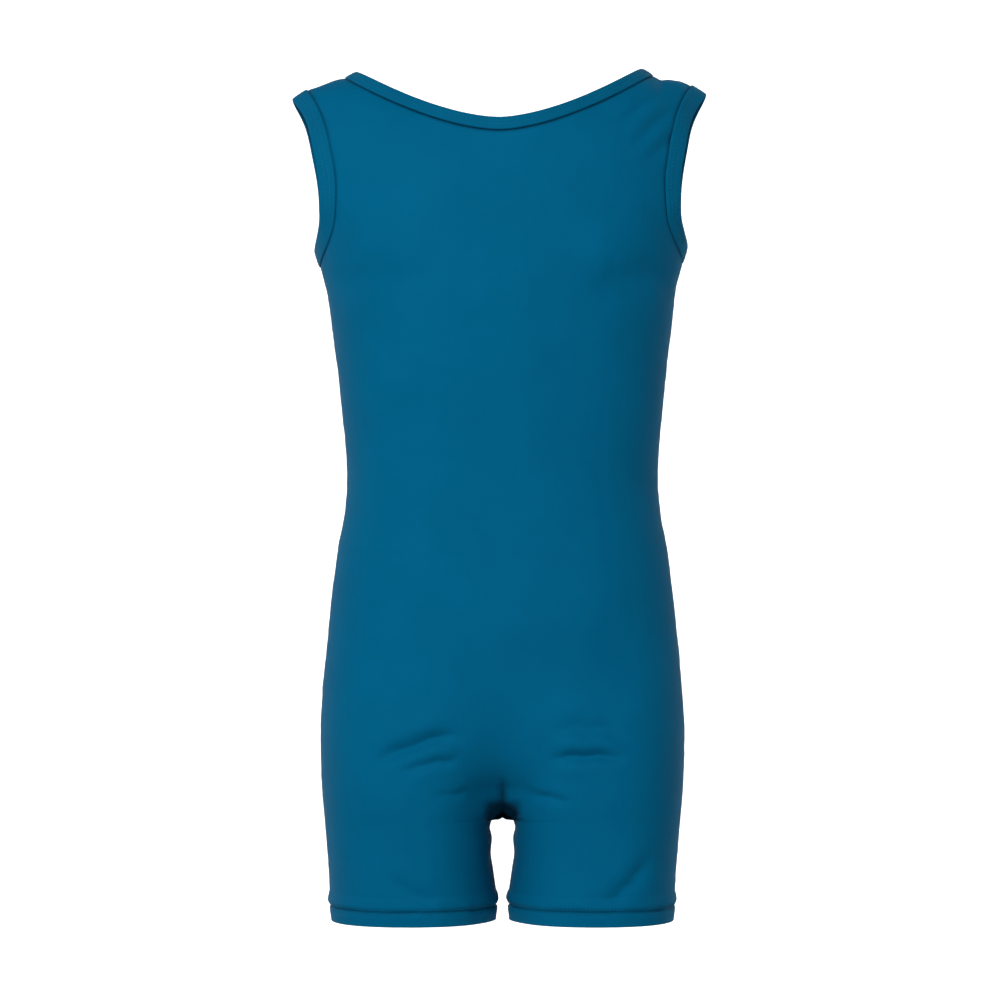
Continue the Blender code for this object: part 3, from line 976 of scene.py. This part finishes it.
def cloth_material(name, finish, knit):
    """Stretch knit: its loops with painted shade between them, its uneven dye, painted shade in its
    sewn ditches, and the soft light that its nap catches.
    """
    material = bpy.data.materials.new(name)
    material.use_nodes = True
    tree = material.node_tree
    nodes = tree.nodes
    link = tree.links.new
    shader = nodes["Principled BSDF"]
    shader.inputs["Metallic"].default_value = 0.0
    shader.inputs["Specular IOR Level"].default_value = GLOSS
    shader.inputs["Sheen Weight"].default_value = finish.sheen
    shader.inputs["Sheen Roughness"].default_value = 0.35
    shader.inputs["Sheen Tint"].default_value = SHEEN_TINT
    where = nodes.new("ShaderNodeTexCoord")
    loops = nodes.new("ShaderNodeGroup")
    loops.node_tree = knit
    loops.inputs["Wale"].default_value = finish.wale
    loops.inputs["Course"].default_value = finish.course
    link(where.outputs["UV"], loops.inputs["Map"])
    dye = nodes.new("ShaderNodeTexNoise")
    dye.inputs["Scale"].default_value = 22.0
    dye.inputs["Detail"].default_value = 5.0
    link(where.outputs["Object"], dye.inputs["Vector"])
    cloudy = reckon(tree, "MULTIPLY", dye.outputs["Fac"], 0.75)
    # the loops' painted shade, added to the dye's random cloudiness
    blend = reckon(tree, "MULTIPLY_ADD", loops.outputs["Shade"], 0.45, cloudy)
    colours = nodes.new("ShaderNodeValToRGB")
    colours.color_ramp.elements[0].position = 0.15
    colours.color_ramp.elements[0].color = finish.dark
    colours.color_ramp.elements[1].position = 0.95
    colours.color_ramp.elements[1].color = finish.light
    link(blend, colours.inputs["Fac"])
    # painted shade: the colour darkened in the sewn ditches and under the crotch lip, by the share
    # kept on the mesh
    painted_shade = nodes.new("ShaderNodeAttribute")
    painted_shade.attribute_name = "painted_shade"
    shade = nodes.new("ShaderNodeMix")
    shade.data_type = "RGBA"
    shade.inputs[7].default_value = PAINTED_SHADE_COLOUR
    link(painted_shade.outputs["Fac"], shade.inputs[0])
    link(colours.outputs["Color"], shade.inputs[6])
    link(shade.outputs[2], shader.inputs["Base Color"])
    rough = nodes.new("ShaderNodeMapRange")
    rough.inputs["To Min"].default_value = finish.roughness - 0.07
    rough.inputs["To Max"].default_value = finish.roughness + 0.09
    link(blend, rough.inputs["Value"])
    link(rough.outputs["Result"], shader.inputs["Roughness"])
    bump = nodes.new("ShaderNodeBump")
    bump.inputs["Strength"].default_value = finish.bump
    bump.inputs["Distance"].default_value = LOOP_RELIEF
    link(loops.outputs["Height"], bump.inputs["Height"])
    link(bump.outputs["Normal"], shader.inputs["Normal"])
    return material


def make_floor():
    """A pale seamless floor that curves up all round, glowing softly behind the garment."""
    profile = [(radius, 0.0) for radius in FLOOR_FLAT]
    profile += [
        (FLOOR_FLAT[-1] + FLOOR_CURVE * sin(radians(a)), FLOOR_CURVE - FLOOR_CURVE * cos(radians(a)))
        for a in range(10, 91, 10)
    ]
    profile += [(FLOOR_FLAT[-1] + FLOOR_CURVE, height) for height in WALL_TOPS]
    build = bmesh.new()
    angles = [2 * pi * k / FLOOR_SPOKES for k in range(FLOOR_SPOKES)]
    rings = [
        [build.verts.new((radius * cos(a), radius * sin(a), FLOOR_Z + height)) for a in angles]
        for radius, height in profile
    ]
    centre = build.verts.new((0.0, 0.0, FLOOR_Z))
    for k in range(FLOOR_SPOKES):
        after = (k + 1) % FLOOR_SPOKES
        build.faces.new((centre, rings[0][k], rings[0][after]))
        for low, high in zip(rings, rings[1:]):
            build.faces.new((low[k], high[k], high[after], low[after]))
    floor = make_object("studio_floor", build)
    material = bpy.data.materials.new("studio_white")
    material.use_nodes = True
    nodes = material.node_tree.nodes
    link = material.node_tree.links.new
    shader = nodes["Principled BSDF"]
    shader.inputs["Base Color"].default_value = (FLOOR_SHADE, FLOOR_SHADE, FLOOR_SHADE, 1.0)
    shader.inputs["Roughness"].default_value = 0.9
    shader.inputs["Emission Color"].default_value = (1.0, 1.0, 1.0, 1.0)
    where = nodes.new("ShaderNodeTexCoord")
    split = nodes.new("ShaderNodeSeparateXYZ")
    glow = nodes.new("ShaderNodeMapRange")
    glow.interpolation_type = "SMOOTHSTEP"
    glow.inputs["From Min"].default_value = GLOW_FROM
    glow.inputs["From Max"].default_value = GLOW_TO
    glow.inputs["To Min"].default_value = FRONT_GLOW
    glow.inputs["To Max"].default_value = BACK_GLOW
    link(where.outputs["Object"], split.inputs[0])
    link(split.outputs["Y"], glow.inputs["Value"])
    link(glow.outputs["Result"], shader.inputs["Emission Strength"])
    floor.data.materials.append(material)
    return floor


def make_studio():
    """The floor, a key lamp at the front left, a weak one behind, and a little light in the air."""
    floor = make_floor()
    for name, place, size, energy in LIGHTS:
        lamp = bpy.data.lights.new(name, "AREA")
        lamp.shape = "DISK"
        lamp.size = size
        lamp.energy = energy
        light = bpy.data.objects.new(name, lamp)
        light.location = place
        aim = Vector((0.0, 0.0, CAMERA_Z)) - light.location
        light.rotation_euler = aim.to_track_quat("-Z", "Y").to_euler()
        bpy.context.scene.collection.objects.link(light)
    world = bpy.data.worlds.new("studio_air")
    world.use_nodes = True
    air = world.node_tree.nodes["Background"]
    air.inputs["Color"].default_value = (1.0, 1.0, 1.0, 1.0)
    air.inputs["Strength"].default_value = AIR_LIGHT
    bpy.context.scene.world = world
    bpy.context.scene.view_settings.view_transform = "Standard"


def make_camera():
    """A long lens, level and square to the front."""
    lens = bpy.data.cameras.new("camera")
    lens.sensor_width = SENSOR
    lens.lens = SENSOR * CAMERA_DISTANCE / PICTURE_WIDTH
    camera = bpy.data.objects.new("camera", lens)
    camera.location = (CAMERA_X, -CAMERA_DISTANCE, CAMERA_Z)
    camera.rotation_euler = (radians(90), 0.0, 0.0)
    bpy.context.scene.collection.objects.link(camera)
    bpy.context.scene.camera = camera


def finish_piece(piece, material, node):
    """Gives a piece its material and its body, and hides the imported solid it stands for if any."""
    if material is not None:
        piece.data.materials.clear()
        piece.data.materials.append(material)
    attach(piece, "root")
    if node:
        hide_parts(node)


def make_garment():
    """Both panels, the bands round the neck and armholes, and all the stitching."""
    knit = knit_group()
    panel_cloth = cloth_material("stretch_knit", PANEL_FINISH, knit)
    band_cloth = cloth_material("folded_binding", BAND_FINISH, knit)
    thread = cloth_material("sewing_thread", THREAD_FINISH, knit)
    front, front_neckline, front_armhole = make_panel("front_cloth", FRONT)
    back, back_neckline, back_armhole = make_panel("back_cloth", BACK)
    finish_piece(front, panel_cloth, "front_panel")
    finish_piece(back, panel_cloth, "back_panel")

    neck = neck_frames(front_neckline, back_neckline)
    neck_leans = [NECK_STAND * (here[0].x / NECK_POINT_X) ** 2 for here in neck]
    band = make_band("neck_band", neck, NECK_BAND, neck_leans, 1, 1.7)
    finish_piece(band, band_cloth, "neck_binding")
    tree = stitch_tree()
    on_top = BAND_OUT + ABOVE_BAND
    rows = []
    for share in NECK_STITCH_ROWS:
        rows += stitch_anchors(neck, neck_leans, NECK_BAND * share, on_top, 1)
    neck_stitches = make_stitches("neck_stitches", rows, tree, thread, 3)
    finish_piece(neck_stitches, None, None)

    arm = armhole_frames(front_armhole, back_armhole)
    for label, hand in (("left", 1), ("right", -1)):
        arm_leans = armhole_leans(arm, hand)
        loop = make_band("armhole_band_" + label, arm, ARMHOLE_BAND, arm_leans, hand, 3.0 + hand)
        finish_piece(loop, band_cloth, "armhole_binding_" + label)
        rows = []
        for share in ARMHOLE_STITCH_ROWS:
            rows += stitch_anchors(arm, arm_leans, ARMHOLE_BAND * share, on_top, hand)
        stitches = make_stitches("armhole_stitches_" + label, rows, tree, thread, 5 + hand)
        finish_piece(stitches, None, None)

    for label, hand in (("left", 1), ("right", -1)):
        rows = []
        for above in HEM_STITCH_ROWS:
            rows += hem_anchors(hand, HEM_STITCH_Z + above, SHELL + ABOVE_HEM)
        stitches = make_stitches("hem_stitches_" + label, rows, tree, thread, 8 + hand)
        finish_piece(stitches, None, None)


make_camera()
make_studio()
make_garment()
